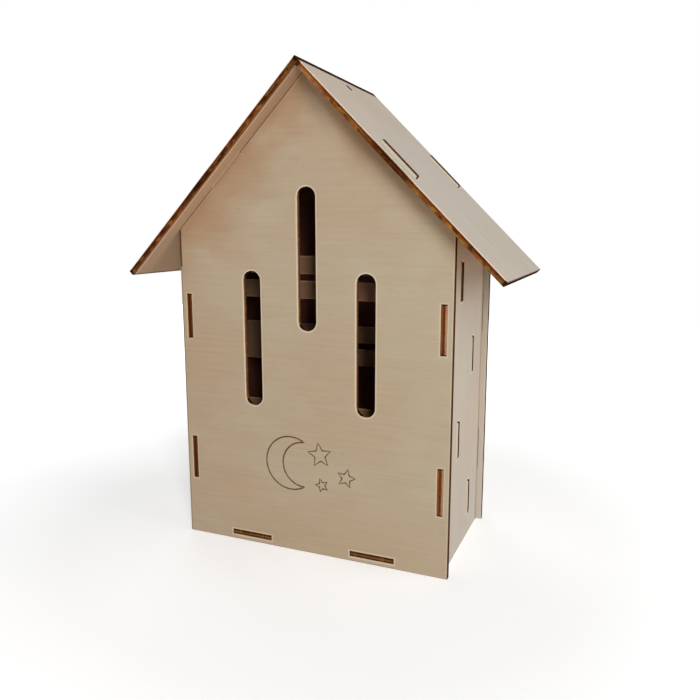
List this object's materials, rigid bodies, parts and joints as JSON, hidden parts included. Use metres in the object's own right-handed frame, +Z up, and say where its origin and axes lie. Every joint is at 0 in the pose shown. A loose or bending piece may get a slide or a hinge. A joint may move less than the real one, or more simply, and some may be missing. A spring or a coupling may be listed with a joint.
{
  "type": "bat box",
  "caption": "Small gabled bat box of thin plywood, with tall round-ended slits for bats to enter by, a steep overhanging roof and inner slats to cling to.",
  "frame": {"origin": "on the ground under the middle of the box", "axes": "+Z up to the ridge, the front wall with the entrance slits faces -Y, +X to the right seen from the front"},
  "size_m": [0.1746, 0.088, 0.215],
  "materials": {
    "front_plywood": "matt sanded basswood plywood, warm grey-brown",
    "wall_plywood": "matt sanded basswood plywood, pale",
    "roof_plywood": "matt sanded basswood plywood, pale grey",
    "inner_plywood": "matt sanded basswood plywood, in shade"
  },
  "bodies": {
    "root": {"front_panel": "front_plywood", "back_panel": "wall_plywood", "left_side_panel": "wall_plywood", "right_side_panel": "wall_plywood", "floor_panel": "inner_plywood", "left_roof_panel": "roof_plywood", "right_roof_panel": "roof_plywood", "front_lower_slat": "inner_plywood", "front_upper_slat": "inner_plywood", "rear_lower_slat": "inner_plywood", "rear_upper_slat": "inner_plywood"}
  },
  "joints": []
}
